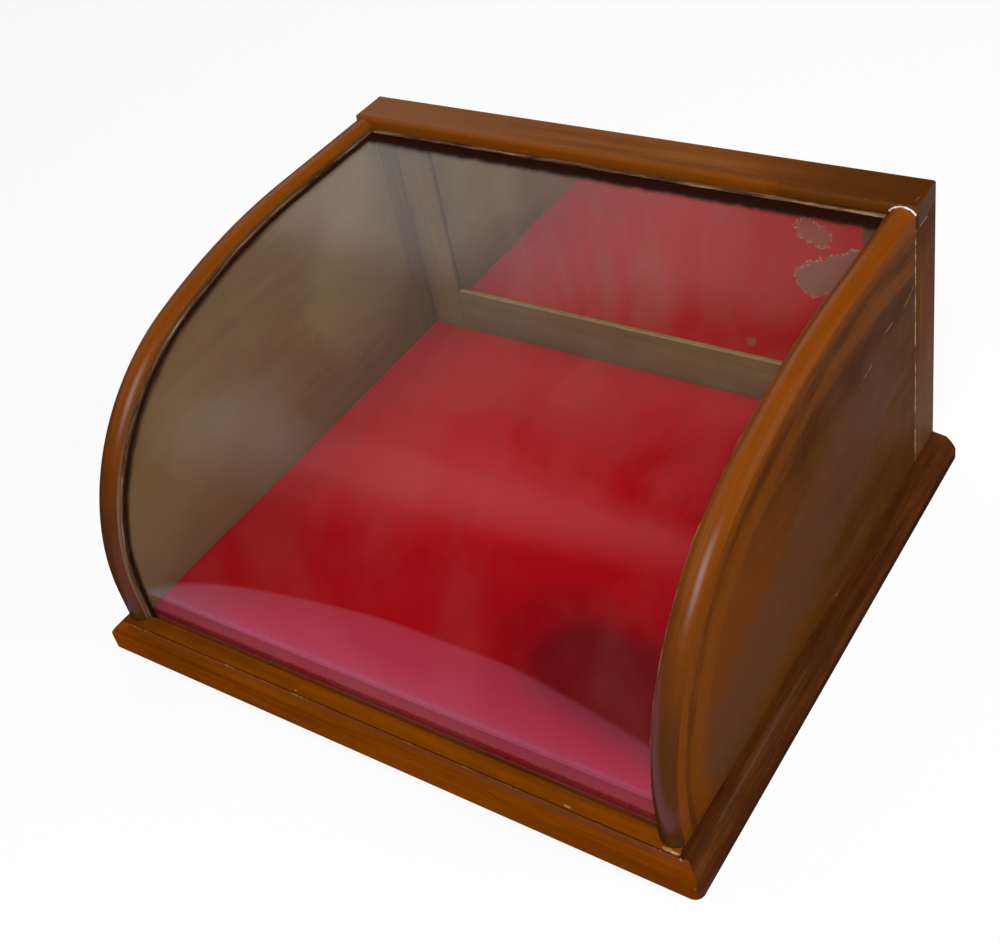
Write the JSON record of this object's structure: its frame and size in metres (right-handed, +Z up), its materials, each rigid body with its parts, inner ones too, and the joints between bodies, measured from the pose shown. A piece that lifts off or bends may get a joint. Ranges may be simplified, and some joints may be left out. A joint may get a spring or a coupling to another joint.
{
  "type": "countertop display case",
  "caption": "Countertop display case: curved glass front between wooden side panels, moulded base, red cloth floor and a mirrored rear door with knob and turn button.",
  "frame": {"origin": "middle of the underside of the base, which stands on the counter", "axes": "+X to the right seen from the front, +Y to the rear, +Z up"},
  "size_m": [0.4495, 0.399, 0.218],
  "materials": {
    "varnished_mahogany": "old gloss varnish, worn at the edges",
    "dark_mahogany": "old gloss varnish over dark stain",
    "bare_pine": "unfinished",
    "case_glass": "clear, lightly hazed",
    "old_putty": "matte, dusty",
    "red_cloth": "smooth woven cloth",
    "silvered_mirror": "aged silvering",
    "old_brass": "dull, worn",
    "screw_steel": "plain"
  },
  "bodies": {
    "case": {"base_board": "varnished_mahogany", "base_moulding_front": "varnished_mahogany", "base_moulding_left": "varnished_mahogany", "base_moulding_right": "varnished_mahogany", "top_rail": "varnished_mahogany", "side_panel_left": "dark_mahogany", "side_panel_right": "dark_mahogany", "rear_post_left": "dark_mahogany", "rear_post_right": "dark_mahogany", "door_stop": "dark_mahogany", "panel_dowels": "bare_pine", "rail_dowels": "bare_pine", "floor_board": "bare_pine", "curved_glass": "case_glass", "glazing_putty_top": "old_putty", "glazing_putty_left": "old_putty", "glazing_putty_right": "old_putty", "floor_cloth": "red_cloth", "hinge_frame_leaves": "old_brass", "hinge_pins": "old_brass", "frame_hinge_screws": "old_brass", "turn_button_screw": "old_brass", "base_screws": "screw_steel"},
    "door": {"door_stile_left": "dark_mahogany", "door_stile_right": "dark_mahogany", "door_bottom_rail": "dark_mahogany", "door_top_rail": "dark_mahogany", "mirror": "silvered_mirror", "mirror_back_board": "bare_pine", "mirror_sprigs": "screw_steel", "hinge_door_leaves": "old_brass", "door_hinge_screws": "old_brass", "door_knob": "old_brass"},
    "turn_button": {"turn_button": "old_brass"}
  },
  "joints": [
    {"name": "door_hinge", "type": "hinge", "parent": "case", "child": "door", "pos_m": [0.1962, 0.1945, 0.1105], "axis": [0, 0, -1], "range_deg": [0, 175]},
    {"name": "button_turn", "type": "hinge", "parent": "case", "child": "turn_button", "pos_m": [-0.2045, 0.1938, 0.15], "axis": [0, -1, 0], "range_deg": [0, 90]}
  ]
}
